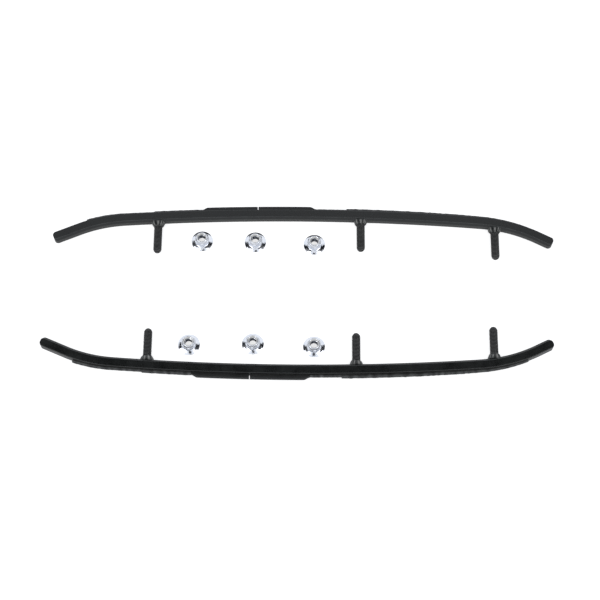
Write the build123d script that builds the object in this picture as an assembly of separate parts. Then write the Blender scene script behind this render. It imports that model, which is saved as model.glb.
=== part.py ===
"""A pair of snowmobile ski wear bars with their six flange lock nuts, laid flat on a bench.

Each bar is a bent square steel host bar with three welded threaded studs on its ski side, and
a brazed two-piece carbide runner and hardfacing strips on its wear side. Millimetres, +Z up.
The origin is on the bench, midway between the bars; +X runs from the noses to the tails.
"""

from build123d import *
import os
from math import asin, cos, radians, sin, sqrt

# Host bar
BAR_SIDE = 11.1            # 7/16 in square section
BAR_LENGTH = 566.0         # nose tip to tail tip, in plan
SKI_EDGE_CHAMFER = 2.2     # the two long edges on the ski side
WEAR_EDGE_FILLET = 0.8
END_RADIUS = 4.0           # rounded nose and tail, in plan
BOW_RADIUS = 2850.0        # long gentle bow between the end bends
BOW_LOW_X = -4.7           # where the bow runs parallel to X
BOW_FRONT_ANGLE = 4.0      # slope where the bow meets the nose bend, degrees
BOW_REAR_ANGLE = 4.15
NOSE_BEND_RADIUS = 160.0
NOSE_ANGLE = 23.0          # slope of the straight nose, degrees
TAIL_BEND_RADIUS = 172.0
TAIL_ANGLE = 26.7

# Studs, 3/8-16
STUD_X = {"front": -164.7, "middle": 65.3, "rear": 217.3}
STUD_RADIUS = 4.7625       # thread major radius
SHANK_RADIUS = 4.2         # plain root that is socketed and welded
STUD_SOCKET = 3.0          # depth of the blind hole in the host bar
STUD_REACH = 37.0          # bar face to stud tip
STUD_TIP_CHAMFER = 1.2
WELD_HEIGHT = 5.0
WELD_LENGTH = 14.0         # along the bar
WELD_TOP_LENGTH = 11.4

# Carbide runner, brazed in a milled groove
CARBIDE_X = (-115.4, 14.5)
CARBIDE_SPLIT_X = -51.5
CARBIDE_GAP = 1.0
CARBIDE_WIDTH = 4.0
CARBIDE_DEPTH = 4.0        # below the wear face
CARBIDE_PROUD = 5.7        # above the wear face
CARBIDE_RAMP = 7.0
CARBIDE_FOOT = 2.8         # height of an insert's outer end
CARBIDE_TIP_CHAMFER = 1.2

# Hardfacing strips: start and end along X, height above the wear face at each end
STRIP_WIDTH = 5.0
STRIP_GAP = 0.1            # between neighbouring strips
STRIPS = {
    "nose": (-244.0, -169.3, 3.3, 2.6),
    "front": (-169.3, -115.4, 3.6, 3.6),
    "centre": (14.5, 49.1, 3.0, 3.0),
    "middle": (49.1, 145.3, 4.4, 4.0),
    "rear": (145.3, 183.3, 3.8, 3.6),
    "tail": (183.3, 252.0, 3.4, 2.0),
}

# Nuts, 3/8-16 hex flange with nylon ring
NUT_FLANGE_RADIUS = 12.2
NUT_FLANGE_RIM = 1.2       # thickness at the flange's edge
NUT_FLANGE_RISE = 3.2      # height where the flange meets the hexagon
NUT_ACROSS_FLATS = 14.29
NUT_HEX_TOP = 9.2
NUT_COLLAR_RADIUS = 6.6
NUT_HEIGHT = 12.2
NUT_BORE_RADIUS = 4.0      # thread minor radius
NUT_MOUTH_CHAMFER = 0.8
RING_OUTER_RADIUS = 5.9
RING_INNER_RADIUS = 4.4
RING_HEIGHT = 2.4
COLLAR_LIP = 0.5           # crimped over the ring
LIP_INNER_RADIUS = 5.1
NUT_SPOTS = [
    (-111.6, 62.2), (-51.2, 61.5), (15.8, 59.0),
    (-122.5, -62.3), (-51.8, -60.9), (15.9, -63.6),
]

# How the set is laid out
BAR_SPACING = 185.0        # between the two bars, at the bows
BAR_STAGGER = 6.0          # the right bar lies this much further towards +X

HALF = BAR_SIDE / 2
RAD_FRONT = radians(BOW_FRONT_ANGLE)
RAD_REAR = radians(BOW_REAR_ANGLE)
RAD_NOSE = radians(NOSE_ANGLE)
RAD_TAIL = radians(TAIL_ANGLE)

# Arc centres of the centreline, y = 0 at the bow's low point, wear side towards -Y
BOW_CENTRE = (BOW_LOW_X, BOW_RADIUS)
NOSE_CENTRE = (
    BOW_LOW_X - (BOW_RADIUS - NOSE_BEND_RADIUS) * sin(RAD_FRONT),
    BOW_RADIUS - (BOW_RADIUS - NOSE_BEND_RADIUS) * cos(RAD_FRONT),
)
TAIL_CENTRE = (
    BOW_LOW_X + (BOW_RADIUS - TAIL_BEND_RADIUS) * sin(RAD_REAR),
    BOW_RADIUS - (BOW_RADIUS - TAIL_BEND_RADIUS) * cos(RAD_REAR),
)
# Each bend: centre, radius, first heading, last heading, from nose to tail
BENDS = [
    (NOSE_CENTRE, NOSE_BEND_RADIUS, -RAD_NOSE, -RAD_FRONT),
    (BOW_CENTRE, BOW_RADIUS, -RAD_FRONT, RAD_REAR),
    (TAIL_CENTRE, TAIL_BEND_RADIUS, RAD_REAR, RAD_TAIL),
]


def on_bend(bend, heading, offset=0.0):
    """The point of a bend at a heading, offset towards the wear side."""
    (cx, cy), radius, _, _ = bend
    return cx + (radius + offset) * sin(heading), cy - (radius + offset) * cos(heading)


def station(x, offset=0.0):
    """The point of the line offset towards the wear side, square to the centreline at x, and its heading."""
    first, last = BENDS[0], BENDS[-1]
    x_nose, y_nose = on_bend(first, -RAD_NOSE)
    x_tail, y_tail = on_bend(last, RAD_TAIL)
    if x < x_nose:
        heading, y = -RAD_NOSE, y_nose + (x_nose - x) * sin(RAD_NOSE) / cos(RAD_NOSE)
    elif x > x_tail:
        heading, y = RAD_TAIL, y_tail + (x - x_tail) * sin(RAD_TAIL) / cos(RAD_TAIL)
    else:
        for (cx, cy), radius, start, end in BENDS:
            if x <= cx + radius * sin(end) + 1e-9:
                break
        heading = asin((x - cx) / radius)
        y = cy - sqrt(radius**2 - (x - cx) ** 2)
    return (x + offset * sin(heading), y - offset * cos(heading)), heading


def side(x_start, x_end, offset):
    """The edges of an offset line between two places along the centreline."""
    (start, first_heading), (end, last_heading) = station(x_start, offset), station(x_end, offset)
    edges, here = [], start
    for bend in BENDS:
        low, high = max(bend[2], first_heading), min(bend[3], last_heading)
        if high - low < 1e-9:
            continue
        a, m, b = (on_bend(bend, h, offset) for h in (low, (low + high) / 2, high))
        if (Vector(*a) - Vector(*here)).length > 1e-6:
            edges.append(Line(here, a))
        edges.append(ThreePointArc(a, m, b))
        here = b
    if (Vector(*end) - Vector(*here)).length > 1e-6:
        edges.append(Line(here, end))
    return edges


def band(x_start, x_end, inner, outer, ramps, width, foot=0.0):
    """A solid of the given width about the bar's mid height, between two offsets.

    A ramped end rises from foot above the wear face; any other end is square.
    """
    ramp_start, ramp_end = ramps
    low = side(x_start, x_end, inner)
    high = side(x_start + ramp_start, x_end - ramp_end, outer)
    edges = low + high
    for x, ramp, top_x in ((x_start, ramp_start, x_start + ramp_start), (x_end, ramp_end, x_end - ramp_end)):
        corners = [station(x, inner)[0], station(top_x, outer)[0]]
        if ramp:
            corners.insert(1, station(x, HALF + foot)[0])
        edges += [Line(a, b) for a, b in zip(corners, corners[1:])]
    face = make_face(Wire(edges).edges())
    return extrude(Pos(0, 0, HALF) * face, amount=width / 2, both=True)


def solid_of(shape):
    """The one solid of a finished piece."""
    return shape.solids()[0]


def long_edges(solid, offset, tolerance=0.05):
    """The edges that run along the bar at an offset towards the wear side."""
    def is_long(edge):
        for t in (0.0, 0.5, 1.0):
            p = edge.position_at(t)
            near = nearest_offset(p.X, p.Y)
            if abs(near - offset) > tolerance:
                return False
        return abs(edge.position_at(0).Z - edge.position_at(1).Z) < 1e-6
    return [edge for edge in solid.edges() if is_long(edge)]


def nearest_offset(x, y):
    """How far a point lies from the centreline, towards the wear side."""
    foot = x
    for _ in range(4):
        (fx, fy), heading = station(foot)
        along = (x - fx) * cos(heading) + (y - fy) * sin(heading)
        foot += along * cos(heading)
    (fx, fy), heading = station(foot)
    return (x - fx) * sin(heading) - (y - fy) * cos(heading)


def stud_root(name):
    """Where a stud's axis meets the ski-side face of the bar."""
    x = STUD_X[name]
    low, high = x - HALF, x + HALF
    for _ in range(40):
        middle = (low + high) / 2
        if station(middle, -HALF)[0][0] < x:
            low = middle
        else:
            high = middle
    return station((low + high) / 2, -HALF)[0]


def along_y(x, y, radius, length):
    """A cylinder of the stud's axis, from (x, y) towards the ski side."""
    return Plane(origin=(x, y, HALF), z_dir=(0, 1, 0)) * Cylinder(
        radius, length, align=(Align.CENTER, Align.CENTER, Align.MIN)
    )


def end_inset(angle):
    """How far the middle of a sloping rounded end lies inside the outermost point of its corners."""
    return END_RADIUS * (1 - cos(angle)) + (HALF - END_RADIUS) * sin(angle)


def make_host_bar():
    """The bent square bar with its carbide groove and the blind sockets of the studs."""
    x_nose = -BAR_LENGTH / 2 + end_inset(RAD_NOSE)
    x_tail = BAR_LENGTH / 2 - end_inset(RAD_TAIL)
    bar = band(x_nose, x_tail, -HALF, HALF, (0, 0), BAR_SIDE)
    uprights = [e for e in bar.edges() if abs(e.position_at(0).Z - e.position_at(1).Z) > BAR_SIDE / 2]
    ends = [e for e in uprights if min(abs(e.center().X - p[0]) + abs(e.center().Y - p[1]) for p in (
        station(x_nose, -HALF)[0], station(x_nose, HALF)[0],
        station(x_tail, -HALF)[0], station(x_tail, HALF)[0])) < 0.01]
    bar = fillet(ends, END_RADIUS)
    bar = chamfer(long_edges(bar, -HALF), SKI_EDGE_CHAMFER)
    bar = fillet(long_edges(bar, HALF), WEAR_EDGE_FILLET)
    bar -= band(CARBIDE_X[0], CARBIDE_X[1], HALF - CARBIDE_DEPTH, HALF + 1.0, (0, 0), CARBIDE_WIDTH)
    for name in STUD_X:
        x, y = stud_root(name)
        bar -= along_y(x, y - STUD_SOCKET, SHANK_RADIUS, STUD_SOCKET + HALF)
    return solid_of(bar)


def make_stud(name):
    """A threaded stud: a plain shank in the socket and the weld, then the full thread diameter."""
    x, y = stud_root(name)
    shank = along_y(x, y - STUD_SOCKET, SHANK_RADIUS, STUD_SOCKET + WELD_HEIGHT)
    thread = along_y(x, y + WELD_HEIGHT, STUD_RADIUS, STUD_REACH - WELD_HEIGHT)
    tip = thread.edges().sort_by(Axis.Y)[-1]
    thread = chamfer(tip, STUD_TIP_CHAMFER)
    return solid_of(shank + thread)


def make_weld(name, host_bar):
    """The weld fillet round a stud's foot, no wider than the bar's flanks."""
    x, y = stud_root(name)
    foot = Plane(origin=(x, y - HALF, HALF), z_dir=(0, 1, 0))
    base = foot * Circle(WELD_LENGTH / 2)
    middle = foot.offset(HALF + WELD_HEIGHT * 0.35) * Circle(WELD_TOP_LENGTH / 2 + 0.9)
    top = foot.offset(HALF + WELD_HEIGHT) * Circle(WELD_TOP_LENGTH / 2)
    collar = loft([base, middle, top], ruled=True)
    collar &= Pos(x, y, HALF) * Box(3 * WELD_LENGTH, 6 * WELD_LENGTH, BAR_SIDE)
    collar -= along_y(x, y - BAR_SIDE, SHANK_RADIUS, 3 * BAR_SIDE)
    collar -= host_bar
    return max(collar.solids(), key=lambda s: s.volume)


def make_carbide(x_start, x_end, ramps):
    """One carbide insert, its tip chamfered to a blunt V."""
    piece = band(x_start, x_end, HALF - CARBIDE_DEPTH, HALF + CARBIDE_PROUD, ramps, CARBIDE_WIDTH,
                 foot=CARBIDE_FOOT)
    return solid_of(chamfer(long_edges(piece, HALF + CARBIDE_PROUD), CARBIDE_TIP_CHAMFER))


def make_strip(x_start, x_end, height_start, height_end):
    """One hardfacing strip on the wear face, its height changing evenly along it."""
    a, b = x_start + STRIP_GAP / 2, x_end - STRIP_GAP / 2
    low = side(a, b, HALF)
    outer = [station(a + (b - a) * k / 6, HALF + height_start + (height_end - height_start) * k / 6)[0]
             for k in range(7)]
    top = Spline(*outer)
    edges = low + [top, Line(station(a, HALF)[0], outer[0]), Line(station(b, HALF)[0], outer[-1])]
    face = make_face(Wire(edges).edges())
    return solid_of(extrude(Pos(0, 0, HALF) * face, amount=STRIP_WIDTH / 2, both=True))


def make_bar():
    """All pieces of one bar, lying on its flank with its studs towards +Y."""
    host_bar = make_host_bar()
    pieces = {"host_bar": host_bar}
    for name in STUD_X:
        pieces[f"{name}_stud"] = make_stud(name)
        pieces[f"{name}_weld"] = make_weld(name, host_bar)
    split_front = CARBIDE_SPLIT_X - CARBIDE_GAP / 2
    split_rear = CARBIDE_SPLIT_X + CARBIDE_GAP / 2
    pieces["front_carbide"] = make_carbide(CARBIDE_X[0], split_front, (CARBIDE_RAMP, 0))
    pieces["rear_carbide"] = make_carbide(split_rear, CARBIDE_X[1], (0, CARBIDE_RAMP))
    for name, spec in STRIPS.items():
        pieces[f"{name}_strip"] = make_strip(*spec)
    return pieces


def make_nut():
    """A hex flange nut standing on its flange, with a recess for the nylon ring under a crimped lip."""
    flange = revolve(make_face(Polyline(
        (0, 0), (NUT_FLANGE_RADIUS, 0), (NUT_FLANGE_RADIUS, NUT_FLANGE_RIM),
        (NUT_ACROSS_FLATS / 2, NUT_FLANGE_RISE), (0, NUT_FLANGE_RISE), close=True,
    ).edges()).rotate(Axis.X, 90), Axis.Z)
    hexagon = extrude(RegularPolygon(NUT_ACROSS_FLATS / 2, 6, major_radius=False), amount=NUT_HEX_TOP)
    crown = Pos(0, 0, NUT_HEX_TOP / 2) * Cylinder(NUT_ACROSS_FLATS / sqrt(3), NUT_HEX_TOP)
    crown = chamfer(crown.edges().sort_by(Axis.Z)[-1], 1.4)
    collar = Pos(0, 0, NUT_HEIGHT / 2) * Cylinder(NUT_COLLAR_RADIUS, NUT_HEIGHT)
    collar = chamfer(collar.edges().sort_by(Axis.Z)[-1], 0.6)
    body = flange + (hexagon & crown) + collar
    recess_top = NUT_HEIGHT - COLLAR_LIP
    body -= Pos(0, 0, recess_top - RING_HEIGHT / 2) * Cylinder(RING_OUTER_RADIUS, RING_HEIGHT)
    body -= Pos(0, 0, NUT_HEIGHT) * Cylinder(LIP_INNER_RADIUS, 2 * COLLAR_LIP)
    body -= Pos(0, 0, NUT_HEIGHT / 2) * Cylinder(NUT_BORE_RADIUS, 2 * NUT_HEIGHT)
    body -= Pos(0, 0, 0) * Cone(
        NUT_BORE_RADIUS + 2 * NUT_MOUTH_CHAMFER, NUT_BORE_RADIUS, 2 * NUT_MOUTH_CHAMFER,
    )
    return solid_of(body)


def make_ring():
    """The nylon ring held in the nut's recess."""
    middle = NUT_HEIGHT - COLLAR_LIP - RING_HEIGHT / 2
    ring = Pos(0, 0, middle) * Cylinder(RING_OUTER_RADIUS, RING_HEIGHT)
    return solid_of(ring - Pos(0, 0, middle) * Cylinder(RING_INNER_RADIUS, 2 * RING_HEIGHT))


os.makedirs("parts", exist_ok=True)
bar = make_bar()
left_place = Pos(-BAR_STAGGER / 2, -BAR_SPACING / 2, 0)
right_place = Pos(BAR_STAGGER / 2, BAR_SPACING / 2, BAR_SIDE) * Rot(180, 0, 0)
nut, ring = make_nut(), make_ring()
placed = {}
for piece_name, piece in bar.items():
    placed[f"left_{piece_name}"] = left_place * piece
    placed[f"right_{piece_name}"] = right_place * piece
for number, spot in enumerate(NUT_SPOTS, start=1):
    placed[f"nut_{number}_body"] = Pos(*spot, 0) * nut
    placed[f"nut_{number}_nylon_ring"] = Pos(*spot, 0) * ring
for piece_name, piece in placed.items():
    export_step(piece, f"parts/{piece_name}.step")
for stud_name in STUD_X:
    print(stud_name, "stud root", stud_root(stud_name))
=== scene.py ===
"""Looks of a pair of snowmobile ski wear bars and their six flange lock nuts. Metres throughout."""

import math

import bpy
import numpy as np
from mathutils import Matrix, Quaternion, Vector


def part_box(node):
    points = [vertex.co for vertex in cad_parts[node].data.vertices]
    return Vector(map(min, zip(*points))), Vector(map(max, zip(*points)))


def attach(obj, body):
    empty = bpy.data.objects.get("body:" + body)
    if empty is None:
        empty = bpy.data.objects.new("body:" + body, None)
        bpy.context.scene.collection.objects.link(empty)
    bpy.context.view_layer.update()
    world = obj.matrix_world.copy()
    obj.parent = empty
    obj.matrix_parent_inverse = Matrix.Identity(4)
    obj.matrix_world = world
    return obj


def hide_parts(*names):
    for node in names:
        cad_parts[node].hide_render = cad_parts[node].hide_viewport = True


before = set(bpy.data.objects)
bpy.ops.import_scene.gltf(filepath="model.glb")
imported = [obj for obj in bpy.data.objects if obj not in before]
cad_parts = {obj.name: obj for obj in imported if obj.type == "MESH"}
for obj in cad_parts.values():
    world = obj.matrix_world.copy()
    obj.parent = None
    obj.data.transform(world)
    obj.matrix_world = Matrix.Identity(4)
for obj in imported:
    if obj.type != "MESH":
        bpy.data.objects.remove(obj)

MM = 0.001
FULL_TURN = 2 * math.pi
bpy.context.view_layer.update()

# The bar's path, as the construction has it: a long shallow bow between two end bends
BAR_SIDE = 11.1 * MM
HALF = BAR_SIDE / 2
BAR_LENGTH = 566.0 * MM
BOW_RADIUS, BOW_LOW_X = 2850.0 * MM, -4.7 * MM
NOSE_RADIUS, TAIL_RADIUS = 160.0 * MM, 172.0 * MM
NOSE_ANGLE, TAIL_ANGLE = math.radians(23.0), math.radians(26.7)
FRONT_ANGLE, REAR_ANGLE = math.radians(4.0), math.radians(4.15)  # where the bow meets the end bends

# The bar's section and ends
SKI_CHAMFER, EDGE_ROUND, WEAR_ROUND = 2.2 * MM, 0.6 * MM, 0.8 * MM
EDGE_WEAR_AND_HIGHLIGHT = (0.4, 1.0, 0.12, 0.12, 1.0, 0.4)  # how strongly each corner's edge takes the edge colour, from the ski side round: rubbed paint together with a painted highlight, strongest where the chamfers meet the flanks
END_RADIUS, END_RINGS, BAR_RINGS = 4.0 * MM, 10, 300

# Studs and the welds round their feet
STUD_X = {"front": -164.7 * MM, "middle": 65.3 * MM, "rear": 217.3 * MM}
STUD_RADIUS, THREAD_ROOT, THREAD_PITCH = 4.74 * MM, 3.82 * MM, 1.5875 * MM
STUD_SUNK, TIP_LENGTH, TIP_END = 1.0 * MM, 4.0 * MM, 0.28  # the tip's end, as a share of the radius
WELD_HEIGHT, WELD_FOOT = 5.4 * MM, 1.4 * MM  # above and below the ski-side face
WELD_TOP_RADIUS, WELD_SPREAD, WELD_HOLLOW = 5.0 * MM, 2.7 * MM, 0.8
WELD_LEAST, WELD_MOST, WELD_NECK = 4.9 * MM, 7.9 * MM, 4.1 * MM
WELD_RIPPLE, WELD_LUMP, WELD_RIPPLES = 0.55 * MM, 0.28 * MM, 6.5
WELD_MEAN_RADIUS, WELD_SLUMP = 6.6 * MM, 0.16

# Carbide inserts
CARBIDE_ENDS, CARBIDE_SPLIT, CARBIDE_GAP = (-115.4 * MM, 14.5 * MM), -51.5 * MM, 1.0 * MM
CARBIDE_WIDTH, CARBIDE_PROUD, CARBIDE_RAMP = 4.0 * MM, 5.65 * MM, 7.0 * MM
CARBIDE_SUNK, CARBIDE_TIP = 1.5 * MM, 1.2 * MM
CARBIDE_ROUNDS = (0.1 * MM, 0.4 * MM, 0.35 * MM, 0.35 * MM, 0.4 * MM, 0.1 * MM)
RAMP_FOOT = 0.5  # height of an insert's outer end, as a share of its full height

# Hardfacing strips, in mm: start, end and the height of the bead at each end
STRIPS = {
    "nose": (-244.0, -169.3, 3.3, 2.6),
    "front": (-169.3, -115.4, 3.6, 3.6),
    "centre": (14.5, 49.1, 3.0, 3.0),
    "middle": (49.1, 145.3, 4.4, 4.0),
    "rear": (145.3, 183.3, 3.8, 3.6),
    "tail": (183.3, 252.0, 3.4, 2.0),
}
STRIP_WIDTH, STRIP_GAP, STRIP_SUNK, STRIP_RING = 5.0 * MM, 0.1 * MM, 1.0 * MM, 0.7 * MM
STRIP_CROWN = 0.6  # the lower, the fuller the bead

# Nuts
FLANGE_RADIUS, FLANGE_RIM, FLANGE_RISE = 12.15 * MM, 1.2 * MM, 3.2 * MM
# The flange's rim in mm, as radius and height, from the bearing face out, up and in to the cone
RIM_OUTLINE = ((11.8, 0), (12.05, 0.1), (12.15, 0.35), (12.15, 0.9), (12.03, 1.15), (11.75, 1.28))
CONE_OUTER, CONE_RAISED = 11.75 * MM, 0.08 * MM
ACROSS_FLATS, ACROSS_CORNERS = 14.29 * MM, 16.1 * MM
HEX_FOOT, HEX_TOP = 3.5 * MM, 9.2 * MM
CROWN_RADIUS, CROWN_SLOPE, CROWN_TOP_RADIUS = 7.0 * MM, 1.25, 6.85 * MM
# The crimped collar in mm, as radius and height, from the crown up, over and in to the lip's underside
COLLAR_OUTLINE = ((6.6, 9.7), (6.6, 11.0), (6.45, 11.6), (6.1, 12.0), (5.7, 12.15),
                  (5.3, 12.08), (5.1, 11.9), (5.1, 11.65), (5.8, 11.6))
BORE_RADIUS, BORE_THREAD, BORE_COUNTERSINK = 4.0 * MM, 0.558 * MM, 0.8 * MM
RING_OUTER, RING_INNER = 5.75 * MM, 4.4 * MM
RING_BOTTOM, RING_TOP = 9.4 * MM, 11.55 * MM
SEAT_RADIUS, SEAT_HEIGHT = 5.8 * MM, 9.3 * MM  # where the ring lies in the nut
NUT_TURNS = (3, -5, 7, 2, -4, 6)  # how far each nut happens to be turned, degrees

# Where each bar's own frame sits: x at the middle of its length, y on its centreline at the bow
left_box, right_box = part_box("left_host_bar"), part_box("right_host_bar")
LEFT = ((left_box[0][0] + left_box[1][0]) / 2, left_box[0][1] + HALF)
RIGHT = ((right_box[0][0] + right_box[1][0]) / 2, right_box[1][1] - HALF)

rng = np.random.default_rng(11)


# ---------------------------------------------------------------- outlines and paths

def centreline(x):
    """Height and heading of the bar's centreline at each x: three tangent arcs between two straights.

    On an arc of radius R and centre (cx, cy) the heading is asin((x - cx) / R) and the height is
    cy - sqrt(R^2 - (x - cx)^2); outside the end bends the line runs on at the end heading.
    """
    x = np.asarray(x, float)
    nose = (BOW_LOW_X - (BOW_RADIUS - NOSE_RADIUS) * math.sin(FRONT_ANGLE),
            BOW_RADIUS - (BOW_RADIUS - NOSE_RADIUS) * math.cos(FRONT_ANGLE), NOSE_RADIUS)
    tail = (BOW_LOW_X + (BOW_RADIUS - TAIL_RADIUS) * math.sin(REAR_ANGLE),
            BOW_RADIUS - (BOW_RADIUS - TAIL_RADIUS) * math.cos(REAR_ANGLE), TAIL_RADIUS)
    bow = (BOW_LOW_X, BOW_RADIUS, BOW_RADIUS)
    x_nose = nose[0] - NOSE_RADIUS * math.sin(NOSE_ANGLE)
    x_tail = tail[0] + TAIL_RADIUS * math.sin(TAIL_ANGLE)
    inside = np.clip(x, x_nose, x_tail)
    at_nose = inside < BOW_LOW_X - BOW_RADIUS * math.sin(FRONT_ANGLE)
    at_tail = inside > BOW_LOW_X + BOW_RADIUS * math.sin(REAR_ANGLE)
    cx, cy, r = (np.where(at_nose, n, np.where(at_tail, t, b)) for n, t, b in zip(nose, tail, bow))
    heading = np.arcsin((inside - cx) / r)
    y = cy - np.sqrt(r**2 - (inside - cx) ** 2) + (x - inside) * np.tan(heading)
    return y, heading


def rounded_profile(corners, radii, steps=6):
    """A closed outline through rounded corners: at each corner, an arc tangent to both sides.

    The arc's centre lies on the corner's bisector at r / sin(half angle).
    """
    points, count = [], len(corners)
    for i in range(count):
        p, a, b = (np.array(corners[k % count], float) for k in (i, i - 1, i + 1))
        u, v = (a - p) / np.linalg.norm(a - p), (b - p) / np.linalg.norm(b - p)
        half = math.acos(np.clip(u @ v, -1, 1)) / 2
        bisector = (u + v) / np.linalg.norm(u + v)
        centre = p + bisector * radii[i] / math.sin(half)
        start = p + u * radii[i] / math.tan(half) - centre
        end = p + v * radii[i] / math.tan(half) - centre
        t = np.linspace(0, 1, steps)[:, None]
        spoke = start * (1 - t) + end * t
        spoke *= radii[i] / np.linalg.norm(spoke, axis=1)[:, None]
        points.append(centre + spoke)
    return np.vstack(points)


def with_sides(section, wear, steps=6):
    """Adds points close to each corner's arc and midway along each side; marks each arc with its corner's
    share of the edge colour, which is rubbed paint together with a painted highlight, and the rest 0."""
    corners = section.reshape(-1, steps, 2)
    ends, starts = corners[:, -1], np.roll(corners[:, 0], -1, axis=0)
    share = np.array([0.04, 0.5, 0.96])[None, :, None]
    sides = ends[:, None] * (1 - share) + starts[:, None] * share
    on_arcs = np.repeat(np.array(wear, float)[:, None], steps, axis=1)
    marks = np.hstack([on_arcs, np.zeros(sides.shape[:2])])
    return np.concatenate([corners, sides], axis=1).reshape(-1, 2), marks.ravel()


def swept(x, w, z):
    """Points of a section carried along the bar: x (M,), w and z (M, N); w is towards the wear side."""
    y, heading = centreline(x)
    return np.stack([x[:, None] + w * np.sin(heading)[:, None],
                     y[:, None] - w * np.cos(heading)[:, None], z], axis=2)


def waves(u, count, shortest, longest):
    """Smooth unevenness about zero, near unit size: a sum of sines with random lengths and phases."""
    lengths = rng.uniform(shortest, longest, count)
    phases = rng.uniform(0, FULL_TURN, count)
    return np.sin(FULL_TURN * u[..., None] / lengths + phases).sum(-1) / math.sqrt(count)


def turns(count):
    """Angles once round, the last one short of the first."""
    return np.linspace(0, FULL_TURN, count + 1)[:-1]


# ---------------------------------------------------------------- the bar's pieces
# Each gives its surface as a grid of points in the bar's own frame, and a mark of where the edge colour
# goes: a painted highlight on edges, crests and shoulders, together with rubbed paint on the bar's and
# inserts' edges

def host_bar_points():
    """The bent square bar: its rounded section carried along the centreline, narrowed over the last
    END_RADIUS d from each tip to HALF - r + sqrt(r^2 - (r - d)^2)."""
    def inset(angle):
        return END_RADIUS * (1 - math.cos(angle)) + (HALF - END_RADIUS) * math.sin(angle)
    first, last = -BAR_LENGTH / 2 + inset(NOSE_ANGLE), BAR_LENGTH / 2 - inset(TAIL_ANGLE)
    rounding = END_RADIUS * (1 - np.cos(np.linspace(0, math.pi / 2, END_RINGS)))
    near = first + rounding * math.cos(NOSE_ANGLE)
    far = last - rounding[::-1] * math.cos(TAIL_ANGLE)
    x = np.concatenate([near, np.linspace(near[-1], far[0], BAR_RINGS)[1:-1], far])
    d = np.minimum((x - first) / math.cos(NOSE_ANGLE), (last - x) / math.cos(TAIL_ANGLE))
    d = np.clip(d, 0, END_RADIUS)
    half = HALF - END_RADIUS + np.sqrt(np.maximum(END_RADIUS**2 - (END_RADIUS - d) ** 2, 0))
    c = SKI_CHAMFER
    section = rounded_profile(
        [(-HALF, c), (-HALF + c, 0), (HALF, 0),
         (HALF, BAR_SIDE), (-HALF + c, BAR_SIDE), (-HALF, BAR_SIDE - c)],
        [EDGE_ROUND, EDGE_ROUND, WEAR_ROUND, WEAR_ROUND, EDGE_ROUND, EDGE_ROUND])
    section, marks = with_sides(section, EDGE_WEAR_AND_HIGHLIGHT)
    w = section[None, :, 0] * (half / HALF)[:, None]
    z = np.broadcast_to(section[None, :, 1], w.shape)
    return swept(x, w, z), np.broadcast_to(marks, w.shape)


def carbide_points(start, end, ramp_start, ramp_end):
    """One insert: a narrow blade on the wear face with a blunt V tip. At an outer end its height eases
    down to RAMP_FOOT of itself as s^2 (3 - 2 s), where s is the share of the ramp that is passed."""
    x = np.linspace(start, end, 90)
    s = np.ones_like(x)
    if ramp_start:
        s = np.minimum(s, (x - start) / ramp_start)
    if ramp_end:
        s = np.minimum(s, (end - x) / ramp_end)
    s = np.clip(s, 0, 1)
    rise = RAMP_FOOT + (1 - RAMP_FOOT) * s * s * (3 - 2 * s)
    half, tip = CARBIDE_WIDTH / 2, CARBIDE_TIP
    section = rounded_profile(
        [(-CARBIDE_SUNK, -half), (CARBIDE_PROUD - tip, -half), (CARBIDE_PROUD, -half + tip),
         (CARBIDE_PROUD, half - tip), (CARBIDE_PROUD - tip, half), (-CARBIDE_SUNK, half)],
        CARBIDE_ROUNDS)
    # The tip's corners take the edge colour: rubbed paint together with a painted highlight
    section, marks = with_sides(section, (0, 1, 1, 1, 1, 0))
    height = section[None, :, 0] + CARBIDE_SUNK
    stretch = (CARBIDE_SUNK + CARBIDE_PROUD * rise) / (CARBIDE_SUNK + CARBIDE_PROUD)
    w = HALF - CARBIDE_SUNK + height * stretch[:, None]
    z = np.broadcast_to(HALF + section[None, :, 1], w.shape)
    return swept(x, w, z), np.broadcast_to(marks, w.shape)


def strip_points(start, end, height_start, height_end):
    """A hardfacing bead: a low crowned section sin(t)^STRIP_CROWN across, uneven in height along it."""
    start, end = start * MM + STRIP_GAP / 2, end * MM - STRIP_GAP / 2
    count = int((end - start) / STRIP_RING)
    x = np.linspace(start, end, count)
    t = np.linspace(0, math.pi, 17)
    share = (x - start) / (end - start)
    height = (height_start + (height_end - height_start) * share) * MM
    unevenness = waves(x, 5, 5 * MM, 19 * MM)
    height = height * (0.95 - 0.03 * unevenness)
    lump = 1 + 0.02 * waves(x[:, None] + 4 * MM * t[None, :], 4, 2 * MM, 7 * MM)
    crown = height[:, None] * np.sin(t)[None, :] ** STRIP_CROWN * np.clip(lump, 0.9, 1.04)
    crown = np.minimum(crown, max(height_start, height_end) * MM)
    across = -np.cos(t)[None, :] * STRIP_WIDTH / 2 * np.ones_like(height)[:, None]
    w = np.concatenate([HALF + crown, np.full((count, 2), HALF - STRIP_SUNK)], axis=1)
    z = np.concatenate([HALF + across, HALF + across[:, -1:], HALF + across[:, :1]], axis=1)
    # The mark is a painted highlight along the bead's two shoulders, varying with the bead's unevenness
    marks = np.clip(0.35 + 0.4 * unevenness, 0, 1)[:, None] * np.abs(np.sin(2 * t))[None, :]
    return swept(x, w, z), np.concatenate([marks, np.zeros((count, 2))], axis=1)


def stud_foot(name):
    """Where a stud's axis meets the bar's ski-side face: x is the stud's, y is the face's height there."""
    x = STUD_X[name]
    foot = x
    for _ in range(20):
        y, heading = centreline(foot)
        foot += x - (foot - HALF * math.sin(heading))
    y, heading = centreline(foot)
    return x, float(y + HALF * np.cos(heading))


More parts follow.
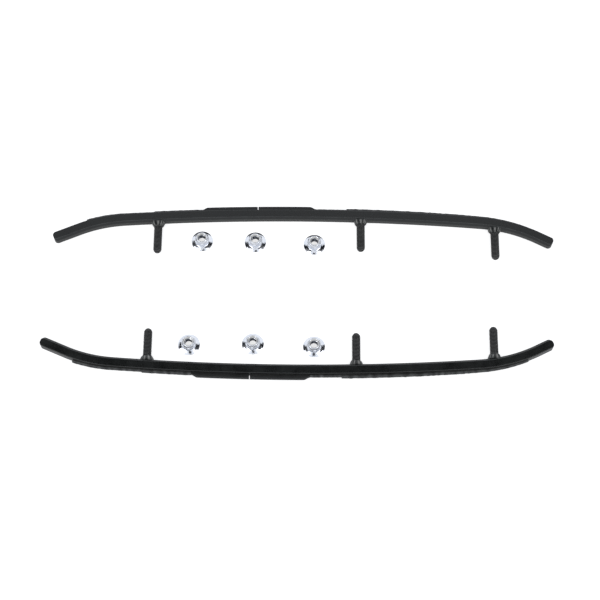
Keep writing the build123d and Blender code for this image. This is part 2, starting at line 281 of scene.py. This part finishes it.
def stud_points(name):
    """A rolled thread: radius between root and crest as a trapezoid wave of (height / pitch - turn), closing
    over the last TIP_LENGTH in a domed tip sqrt(1 - 0.86 s^2), where s is the share of the tip passed."""
    x0, y0 = stud_foot(name)
    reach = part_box(f"left_{name}_stud")[1][1] - LEFT[1] - y0
    shank = reach - TIP_LENGTH
    height = np.concatenate([np.arange(-STUD_SUNK, shank, THREAD_PITCH / 9),
                             shank + TIP_LENGTH * np.sin(np.linspace(0, math.pi / 2, 24))])
    turn = turns(48)
    phase = (height[:, None] / THREAD_PITCH - turn[None, :] / FULL_TURN) % 1.0
    tooth = np.clip(1.25 - np.abs(phase - 0.5) * 3.0, 0, 1)
    s = np.clip((height - shank) / TIP_LENGTH, 0, 1)[:, None]
    dome = np.sqrt(np.clip(1 - 0.86 * s**2, 0, 1))
    dome[-1] = TIP_END
    radius = (THREAD_ROOT + (STUD_RADIUS - THREAD_ROOT) * tooth * (1 - 0.7 * s)) * dome
    grid = np.stack([x0 + radius * np.cos(turn), y0 + height[:, None] + 0 * radius,
                     HALF + radius * np.sin(turn)], axis=2)
    # The crest mark is a painted highlight on the thread's crests
    crest_highlights = np.clip(tooth * 3 - 2, 0, 1)
    return grid, crest_highlights


def weld_points(name):
    """A fillet weld: a closed ring whose outer radius falls by (1 - t)^WELD_HOLLOW from the foot to the
    thread, with ripples and lumps round it, pressed between the bar's flanks by tanh."""
    x0, y0 = stud_foot(name)
    turn, t = turns(128), np.linspace(0, 1, 20)
    around, belly = WELD_MEAN_RADIUS * turn, np.sin(math.pi * t)[None, :]
    beads = np.abs(np.sin(turn * WELD_RIPPLES + 1.3 * np.sin(turn * 2 + 0.7)))[:, None]
    outer = (WELD_TOP_RADIUS + WELD_SPREAD * (1 - t) ** WELD_HOLLOW)[None, :]
    lumps = WELD_LUMP * waves(around[:, None] + 1.4 * MM * t[None, :], 4, 2.4 * MM, 6.0 * MM)
    radius = outer + WELD_RIPPLE * beads * belly**0.7 + lumps * belly
    radius = np.clip(radius, WELD_LEAST, WELD_MOST)
    slump = WELD_SLUMP * np.abs(waves(around, 2, 9 * MM, 17 * MM))[:, None] * (t**2)[None, :]
    height = -WELD_FOOT + (WELD_HEIGHT + WELD_FOOT) * t[None, :] * (1 - slump)
    foot, neck = np.full((len(turn), 1), -WELD_FOOT), np.full((len(turn), 1), WELD_NECK)
    radius = np.concatenate([radius, neck, neck], axis=1)
    height = np.concatenate([height, height[:, -1:], foot], axis=1)
    side, flank = radius * np.sin(turn)[:, None], HALF * 0.985
    side = np.clip(flank * np.tanh(side / HALF) / math.tanh(1.25), -flank, flank)
    grid = np.stack([x0 + radius * np.cos(turn)[:, None], y0 + height, HALF + side], axis=2)
    # The mark, on the ripples' crests where the weld bellies out, is a painted highlight
    return grid, np.concatenate([beads**4 * belly, np.zeros((len(turn), 2))], axis=1)


# ---------------------------------------------------------------- the nut's pieces

def nut_points():
    """A flange nut as radius over turn for each height: flange cone, then the lesser of the hexagon
    AF / 2 / cos(turn to the nearest flat) and the crown cone, then collar, lip and threaded bore."""
    turn = turns(144)
    to_flat = (turn + math.pi / 6) % (math.pi / 3) - math.pi / 6
    hexagon = np.minimum(ACROSS_FLATS / 2 / np.cos(to_flat), ACROSS_CORNERS / 2)[None, :]

    rim = np.vstack([[(BORE_RADIUS + BORE_COUNTERSINK, 0)], np.array(RIM_OUTLINE) * MM])
    slope = (FLANGE_RISE - FLANGE_RIM) / (FLANGE_RADIUS - ACROSS_FLATS / 2)
    share = np.array([0.25, 0.5, 0.75, 0.93])[:, None]
    cone = CONE_OUTER * (1 - share) + hexagon * share
    cone_height = FLANGE_RIM + CONE_RAISED + (FLANGE_RADIUS - cone) * slope
    root_height = FLANGE_RIM + 0.25 * MM + (FLANGE_RADIUS - hexagon) * slope
    share = np.linspace(0, 1, 9)[:, None]
    wall_height = HEX_FOOT + (HEX_TOP - HEX_FOOT) * share
    wall = np.minimum(hexagon, CROWN_RADIUS + (HEX_TOP - wall_height) * CROWN_SLOPE)
    # A band round the upper hex takes the zinc's dark colour: a painted dark reflection
    wall_painted_reflection = 0.8 * ((share > 0.55) & (share < 0.8))
    collar = np.vstack([
        np.array(COLLAR_OUTLINE) * MM,
        [(SEAT_RADIUS, SEAT_HEIGHT + 0.05 * MM), (BORE_RADIUS + 0.5 * MM, SEAT_HEIGHT)]])
    bore_height = np.arange(9.0 * MM, BORE_COUNTERSINK, -THREAD_PITCH / 8)[:, None]
    phase = (bore_height / THREAD_PITCH - turn / FULL_TURN) % 1.0
    bore = BORE_RADIUS + BORE_THREAD * np.abs(phase - 0.5) * 2

    # Each ring's third entry marks the zinc's dark colour: painted shade at the hex's root and in the bore,
    # and a painted dark reflection at the crown's top edge
    rings = [(rim[:, :1], rim[:, 1:], 0.0), (cone, cone_height, 0.0), (hexagon + 0.1 * MM, root_height, 1.0),
             (wall, wall_height, wall_painted_reflection), (CROWN_TOP_RADIUS, HEX_TOP + 0.15 * MM, 0.9),
             (collar[:, :1], collar[:, 1:], 0.0), (bore, bore_height, 1.0)]
    rings = [np.broadcast_arrays(*ring, turn[None, :]) for ring in rings]
    radius, height, marks, _ = (np.vstack(rows) for rows in zip(*rings))
    return np.stack([radius * np.cos(turn), radius * np.sin(turn), height], axis=2), marks


def nylon_ring_points():
    """The nylon ring: a rounded rectangle turned about the nut's axis."""
    section = rounded_profile(
        [(RING_INNER, RING_BOTTOM), (RING_OUTER, RING_BOTTOM),
         (RING_OUTER, RING_TOP), (RING_INNER, RING_TOP)],
        [0.4 * MM, 0.1 * MM, 0.2 * MM, 0.7 * MM])
    turn = turns(72)
    grid = np.stack([section[:, :1] * np.cos(turn), section[:, :1] * np.sin(turn),
                     section[:, 1:] + 0 * turn], axis=2)
    return grid, np.zeros(grid.shape[:2])


# ---------------------------------------------------------------- meshes

def link(thing):
    """Puts a new object into the scene."""
    bpy.context.scene.collection.objects.link(thing)
    return thing


def mesh_of(name, grid, marks, cap_u=False, close_u=False, sharp=32):
    """A closed mesh from a grid of points: the second way round closes on itself, the first is closed or
    capped. Its faces are turned outwards, by the sign of the volume they hold."""
    m, n = grid.shape[:2]
    points = grid.reshape(-1, 3)
    rows = np.arange(m if close_u else m - 1)
    i, j = np.meshgrid(rows, np.arange(n), indexing="ij")
    a, b = i * n + j, i * n + (j + 1) % n
    c, d = ((i + 1) % m) * n + (j + 1) % n, ((i + 1) % m) * n + j
    quads = np.stack([a, b, c, d], axis=2).reshape(-1, 4)
    caps = [list(range(n))[::-1], list(range((m - 1) * n, m * n))] if cap_u else []
    p = points[quads]
    volume = (np.einsum("ij,ij->i", p[:, 0], np.cross(p[:, 1], p[:, 2])).sum()
              + np.einsum("ij,ij->i", p[:, 0], np.cross(p[:, 2], p[:, 3])).sum())
    for cap in caps:
        fan = points[cap]
        volume += np.einsum("j,ij->i", fan[0], np.cross(fan[1:-1], fan[2:])).sum()
    if volume < 0:
        quads = quads[:, ::-1]
        caps = [cap[::-1] for cap in caps]
    mesh = bpy.data.meshes.new(name)
    mesh.from_pydata(points.tolist(), [], quads.tolist() + caps)
    mesh.update()
    edge = mesh.attributes.new("edge", "FLOAT", "POINT")
    edge.data.foreach_set("value", marks.astype(np.float32).ravel())
    mesh.shade_smooth()
    mesh.set_sharp_from_angle(angle=math.radians(sharp))
    return link(bpy.data.objects.new(name, mesh))


def flat_sheet(name, centre, across, up):
    """A rectangle from its centre and its two half sides."""
    c, a, b = (np.array(v, float) for v in (centre, across, up))
    mesh = bpy.data.meshes.new(name)
    corners = np.array([c - a - b, c + a - b, c + a + b, c - a + b])
    mesh.from_pydata(corners.tolist(), [], [(0, 1, 2, 3)])
    return link(bpy.data.objects.new(name, mesh))


def finish_piece(piece, body, node, slot, material):
    """Rides a piece on its body in place of its CAD node, in its material."""
    piece.data.materials.append(material)
    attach(piece, body)
    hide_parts(node)


# ---------------------------------------------------------------- materials

def math_node(nodes, operation, *constants):
    """A Math node with its second and later inputs set where a constant is given."""
    node = nodes.new("ShaderNodeMath")
    node.operation = operation
    for number, value in enumerate(constants, start=1):
        node.inputs[number].default_value = value
    return node


def map_range(nodes, low, high):
    """A Map Range node that spreads low to high over its output range."""
    node = nodes.new("ShaderNodeMapRange")
    node.inputs["From Min"].default_value, node.inputs["From Max"].default_value = low, high
    return node


def colour_mix(nodes):
    """A Mix node for colours."""
    node = nodes.new("ShaderNodeMix")
    node.data_type = "RGBA"
    return node


def group_relief():
    """Uneven finish: fine grain and slow patches, and a mark colour where the edge mark and a patch meet,
    which holds rubbed paint, painted highlights and painted shade, by material. Gives a colour, a roughness
    and a height of 0.6 grain + patch."""
    group = bpy.data.node_groups.new("paint_relief", "ShaderNodeTree")
    face = group.interface
    for name in ("Grain scale", "Patch scale", "Rough low", "Rough high", "Edge"):
        face.new_socket(name, in_out="INPUT", socket_type="NodeSocketFloat")
    for name in ("Dark", "Light", "Wear and painted light"):
        face.new_socket(name, in_out="INPUT", socket_type="NodeSocketColor")
    face.new_socket("Colour", in_out="OUTPUT", socket_type="NodeSocketColor")
    face.new_socket("Roughness", in_out="OUTPUT", socket_type="NodeSocketFloat")
    face.new_socket("Height", in_out="OUTPUT", socket_type="NodeSocketFloat")
    nodes, links = group.nodes, group.links
    source, sink = nodes.new("NodeGroupInput"), nodes.new("NodeGroupOutput")
    place = nodes.new("ShaderNodeTexCoord")
    grain, patch = nodes.new("ShaderNodeTexNoise"), nodes.new("ShaderNodeTexNoise")
    grain.inputs["Detail"].default_value = 4
    patch.inputs["Detail"].default_value = 6
    patch.inputs["Roughness"].default_value = 0.65
    for noise, scale in ((grain, "Grain scale"), (patch, "Patch scale")):
        links.new(place.outputs["Object"], noise.inputs["Vector"])
        links.new(source.outputs[scale], noise.inputs["Scale"])

    contrast, colour = map_range(nodes, 0.35, 0.68), colour_mix(nodes)
    links.new(patch.outputs["Fac"], contrast.inputs["Value"])
    links.new(contrast.outputs["Result"], colour.inputs["Factor"])
    links.new(source.outputs["Dark"], colour.inputs["A"])
    links.new(source.outputs["Light"], colour.inputs["B"])
    # The mark colour goes where the edge mark and a patch meet: rubbed paint and painted highlights on the
    # bar, painted highlights on crests, painted shade on the nuts
    wear, wear_and_light_colour = math_node(nodes, "MULTIPLY"), colour_mix(nodes)
    links.new(source.outputs["Edge"], wear.inputs[0])
    links.new(patch.outputs["Fac"], wear.inputs[1])
    links.new(wear.outputs["Value"], wear_and_light_colour.inputs["Factor"])
    links.new(colour.outputs["Result"], wear_and_light_colour.inputs["A"])
    links.new(source.outputs["Wear and painted light"], wear_and_light_colour.inputs["B"])
    rough, height = map_range(nodes, 0.3, 0.7), math_node(nodes, "MULTIPLY_ADD", 0.6)
    links.new(patch.outputs["Fac"], rough.inputs["Value"])
    links.new(source.outputs["Rough low"], rough.inputs["To Min"])
    links.new(source.outputs["Rough high"], rough.inputs["To Max"])
    links.new(grain.outputs["Fac"], height.inputs[0])
    links.new(patch.outputs["Fac"], height.inputs[2])
    links.new(wear_and_light_colour.outputs["Result"], sink.inputs["Colour"])
    links.new(rough.outputs["Result"], sink.inputs["Roughness"])
    links.new(height.outputs["Value"], sink.inputs["Height"])
    return group


def finish_material(name, dark, light, wear_and_light_colour, rough, bump, grain=900.0, patch=45.0, metallic=0.0):
    """A material on the relief group: colour, roughness and bump from it, constants on the shader."""
    material = bpy.data.materials.new(name)
    material.use_nodes = True
    nodes, links = material.node_tree.nodes, material.node_tree.links
    shader = nodes["Principled BSDF"]
    shader.inputs["Metallic"].default_value = metallic
    group = nodes.new("ShaderNodeGroup")
    group.node_tree = RELIEF
    values = {"Dark": (*dark, 1), "Light": (*light, 1), "Wear and painted light": (*wear_and_light_colour, 1),
              "Rough low": rough[0], "Rough high": rough[1], "Grain scale": grain, "Patch scale": patch}
    for socket, value in values.items():
        group.inputs[socket].default_value = value
    edge = nodes.new("ShaderNodeAttribute")
    edge.attribute_name = "edge"
    links.new(edge.outputs["Fac"], group.inputs["Edge"])
    relief_bump = nodes.new("ShaderNodeBump")
    relief_bump.inputs["Strength"].default_value = 1.0
    relief_bump.inputs["Distance"].default_value = bump
    links.new(group.outputs["Colour"], shader.inputs["Base Color"])
    links.new(group.outputs["Roughness"], shader.inputs["Roughness"])
    links.new(group.outputs["Height"], relief_bump.inputs["Height"])
    links.new(relief_bump.outputs["Normal"], shader.inputs["Normal"])
    return material


RELIEF = group_relief()
# The bar's edge colour is rubbed paint together with a painted highlight along the edges
PAINT = finish_material(
    "bar_paint", dark=(0.004, 0.0046, 0.0044), light=(0.009, 0.0105, 0.01), wear_and_light_colour=(0.09, 0.095, 0.095),
    rough=(0.22, 0.34), bump=0.03 * MM)
# The studs' edge colour is a painted highlight on the thread crests
STUD = finish_material(
    "stud_coating", dark=(0.002, 0.002, 0.002), light=(0.006, 0.006, 0.006), wear_and_light_colour=(0.2, 0.2, 0.2),
    rough=(0.3, 0.5), bump=0.03 * MM)
# The weld's edge colour is a painted highlight on the ripple crests
WELD = finish_material(
    "weld_paint", dark=(0.008, 0.009, 0.009), light=(0.022, 0.024, 0.024), wear_and_light_colour=(0.5, 0.5, 0.48),
    rough=(0.16, 0.34), bump=0.08 * MM, grain=700, patch=220)
# The inserts' edge colour is rubbed paint together with a painted highlight on the tip's edges
CARBIDE = finish_material(
    "carbide_paint", dark=(0.003, 0.0035, 0.0035), light=(0.008, 0.009, 0.009), wear_and_light_colour=(0.03, 0.03, 0.03),
    rough=(0.4, 0.6), bump=0.03 * MM)
# The hardfacing's edge colour is a painted highlight along each bead's shoulders
FACING = finish_material(
    "hardfacing_paint", dark=(0.005, 0.0055, 0.0055), light=(0.014, 0.015, 0.015), wear_and_light_colour=(0.16, 0.165, 0.165),
    rough=(0.28, 0.5), bump=0.08 * MM, grain=800, patch=150)
# The zinc's edge colour is painted shade together with painted dark reflections on the nuts
ZINC = finish_material(
    "zinc_plate", dark=(0.78, 0.81, 0.87), light=(0.93, 0.94, 0.97), wear_and_light_colour=(0.03, 0.035, 0.05),
    rough=(0.08, 0.18), bump=0.01 * MM, grain=1500, patch=160, metallic=1.0)
NYLON = finish_material(
    "nylon", dark=(0.72, 0.71, 0.66), light=(0.84, 0.83, 0.79), wear_and_light_colour=(0.9, 0.9, 0.9),
    rough=(0.3, 0.45), bump=0.01 * MM, patch=200)


# ---------------------------------------------------------------- the two bars and the nuts

def bar_pieces():
    """Every piece of one bar in its own frame: name, points and marks, how it closes, slot and material."""
    yield "host_bar", host_bar_points(), dict(cap_u=True, sharp=40), "bar_paint", PAINT
    for name in STUD_X:
        yield name + "_stud", stud_points(name), dict(cap_u=True, sharp=70), "stud_steel", STUD
        yield name + "_weld", weld_points(name), dict(close_u=True, sharp=60), "weld_bead", WELD
    (start, end), gap = CARBIDE_ENDS, CARBIDE_GAP / 2
    front = carbide_points(start, CARBIDE_SPLIT - gap, CARBIDE_RAMP, 0)
    rear = carbide_points(CARBIDE_SPLIT + gap, end, 0, CARBIDE_RAMP)
    yield "front_carbide", front, dict(cap_u=True), "carbide", CARBIDE
    yield "rear_carbide", rear, dict(cap_u=True), "carbide", CARBIDE
    for name, spec in STRIPS.items():
        yield name + "_strip", strip_points(*spec), dict(cap_u=True, sharp=50), "hardfacing", FACING


def build_bars():
    """Places each piece twice: as it is for the left bar, and turned half round X for the right bar."""
    for name, (grid, marks), closing, slot, material in bar_pieces():
        left = grid + np.array([*LEFT, 0])
        right = grid * np.array([1, -1, -1]) + np.array([*RIGHT, BAR_SIDE])
        for side, points in (("left", left), ("right", right)):
            node = f"{side}_{name}"
            piece = mesh_of(node + "_finish", points, marks, **closing)
            finish_piece(piece, f"{side}_bar", node, slot, material)


def build_nuts():
    """Places each nut on its spot, turned about its own axis."""
    for number, degrees in enumerate(NUT_TURNS, start=1):
        low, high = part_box(f"nut_{number}_body")
        spot = np.array([(low[0] + high[0]) / 2, (low[1] + high[1]) / 2, 0])
        c, s = math.cos(math.radians(degrees)), math.sin(math.radians(degrees))
        turned = np.array([[c, s, 0], [-s, c, 0], [0, 0, 1]])
        for part, (points, marks), slot, material in (("body", nut_points(), "zinc", ZINC),
                                                      ("nylon_ring", nylon_ring_points(), "nylon", NYLON)):
            node = f"nut_{number}_{part}"
            piece = mesh_of(node + "_finish", points @ turned + spot, marks, close_u=True, sharp=35)
            finish_piece(piece, f"nut_{number}", node, slot, material)


# ---------------------------------------------------------------- floor, light, camera

def matt_material(name, colour, roughness=0.5):
    """A plain material without shine; gives it with its shader."""
    material = bpy.data.materials.new(name)
    material.use_nodes = True
    shader = material.node_tree.nodes["Principled BSDF"]
    shader.inputs["Base Color"].default_value = (*colour, 1)
    shader.inputs["Roughness"].default_value = roughness
    shader.inputs["Specular IOR Level"].default_value = 0.0
    return material, shader


def make_floor(size=6.0, to_camera=0.7, to_mirrors=0.12):
    """A wide white floor that takes soft shadows. Its glow lifts it to white for the camera, and a little
    of it shows in reflections."""
    floor = flat_sheet("floor", (0, 0, 0), (size, 0, 0), (0, size, 0))
    material, shader = matt_material("white_floor", (0.8, 0.8, 0.8), 0.9)
    nodes, links = material.node_tree.nodes, material.node_tree.links
    path, glow = nodes.new("ShaderNodeLightPath"), nodes.new("ShaderNodeEmission")
    mirrored, seen = math_node(nodes, "MULTIPLY", to_mirrors), math_node(nodes, "MULTIPLY_ADD", to_camera)
    both = nodes.new("ShaderNodeAddShader")
    links.new(path.outputs["Is Glossy Ray"], mirrored.inputs[0])
    links.new(path.outputs["Is Camera Ray"], seen.inputs[0])
    links.new(mirrored.outputs["Value"], seen.inputs[2])
    links.new(seen.outputs["Value"], glow.inputs["Strength"])
    links.new(shader.outputs["BSDF"], both.inputs[0])
    links.new(glow.outputs["Emission"], both.inputs[1])
    links.new(both.outputs["Shader"], nodes["Material Output"].inputs["Surface"])
    floor.data.materials.append(material)


def make_world(on_object=0.45, seen_or_mirrored=1.0):
    """An even pale surround, plain white to the camera and in reflections."""
    world = bpy.data.worlds.new("surround")
    bpy.context.scene.world = world
    world.use_nodes = True
    nodes, links = world.node_tree.nodes, world.node_tree.links
    back = nodes["Background"]
    back.inputs["Color"].default_value = (0.92, 0.95, 1.0, 1)
    path = nodes.new("ShaderNodeLightPath")
    either, strength = math_node(nodes, "MAXIMUM"), map_range(nodes, 0, 1)
    strength.inputs["To Min"].default_value = on_object
    strength.inputs["To Max"].default_value = seen_or_mirrored
    links.new(path.outputs["Is Camera Ray"], either.inputs[0])
    links.new(path.outputs["Is Glossy Ray"], either.inputs[1])
    links.new(either.outputs["Value"], strength.inputs["Value"])
    links.new(strength.outputs["Result"], back.inputs["Strength"])


def dark_card(name, centre, across, up):
    """A black studio flag that only reflections see."""
    card = flat_sheet(name, centre, across, up)
    card.data.materials.append(matt_material(name, (0.012, 0.014, 0.02))[0])
    card.visible_camera = card.visible_diffuse = card.visible_shadow = False


def softbox(name, place, size=0.8, power=5.5):
    """A soft square lamp that looks at the middle of the set."""
    data = bpy.data.lights.new(name, "AREA")
    data.shape, data.size, data.energy = "SQUARE", size, power
    lamp = link(bpy.data.objects.new(name, data))
    lamp.location = place
    lamp.rotation_mode = "QUATERNION"
    lamp.rotation_quaternion = (-Vector(place)).to_track_quat("-Z", "Y")


def make_camera(elevation=69.0, distance=1.65, target_y=-0.008, roll=0.45, lens=88.4):
    """Looks down along +Y at the set, with a hair of roll. Angles are in degrees."""
    elevation = math.radians(elevation)
    data = bpy.data.cameras.new("camera")
    data.sensor_width, data.lens = 36.0, lens
    camera = link(bpy.data.objects.new("camera", data))
    back = Vector((0, -math.cos(elevation), math.sin(elevation)))
    camera.location = Vector((0, target_y, 0)) + back * distance
    camera.rotation_mode = "QUATERNION"
    camera.rotation_quaternion = (-back).to_track_quat("-Z", "Y") @ Quaternion((0, 0, 1), math.radians(roll))
    bpy.context.scene.camera = camera


build_bars()
build_nuts()
make_floor()
make_world()
make_camera()
dark_card("top_flag", (0, 0.08, 1.2), (1.3, 0, 0), (0, 0.42, 0))
dark_card("left_flag", (-1.05, 0.25, 0.85), (0, 0.35, 0), (0, 0, 0.2))
dark_card("right_flag", (1.05, 0.25, 0.85), (0, 0.35, 0), (0, 0, 0.2))
dark_card("front_flag", (0, -0.88, 1.6), (0.22, 0, 0), (0, 0.15, 0.1))
softbox("left_softbox", (-0.95, -0.4, 1.25))
softbox("right_softbox", (0.95, -0.4, 1.25))
bpy.context.scene.view_settings.view_transform = "Standard"
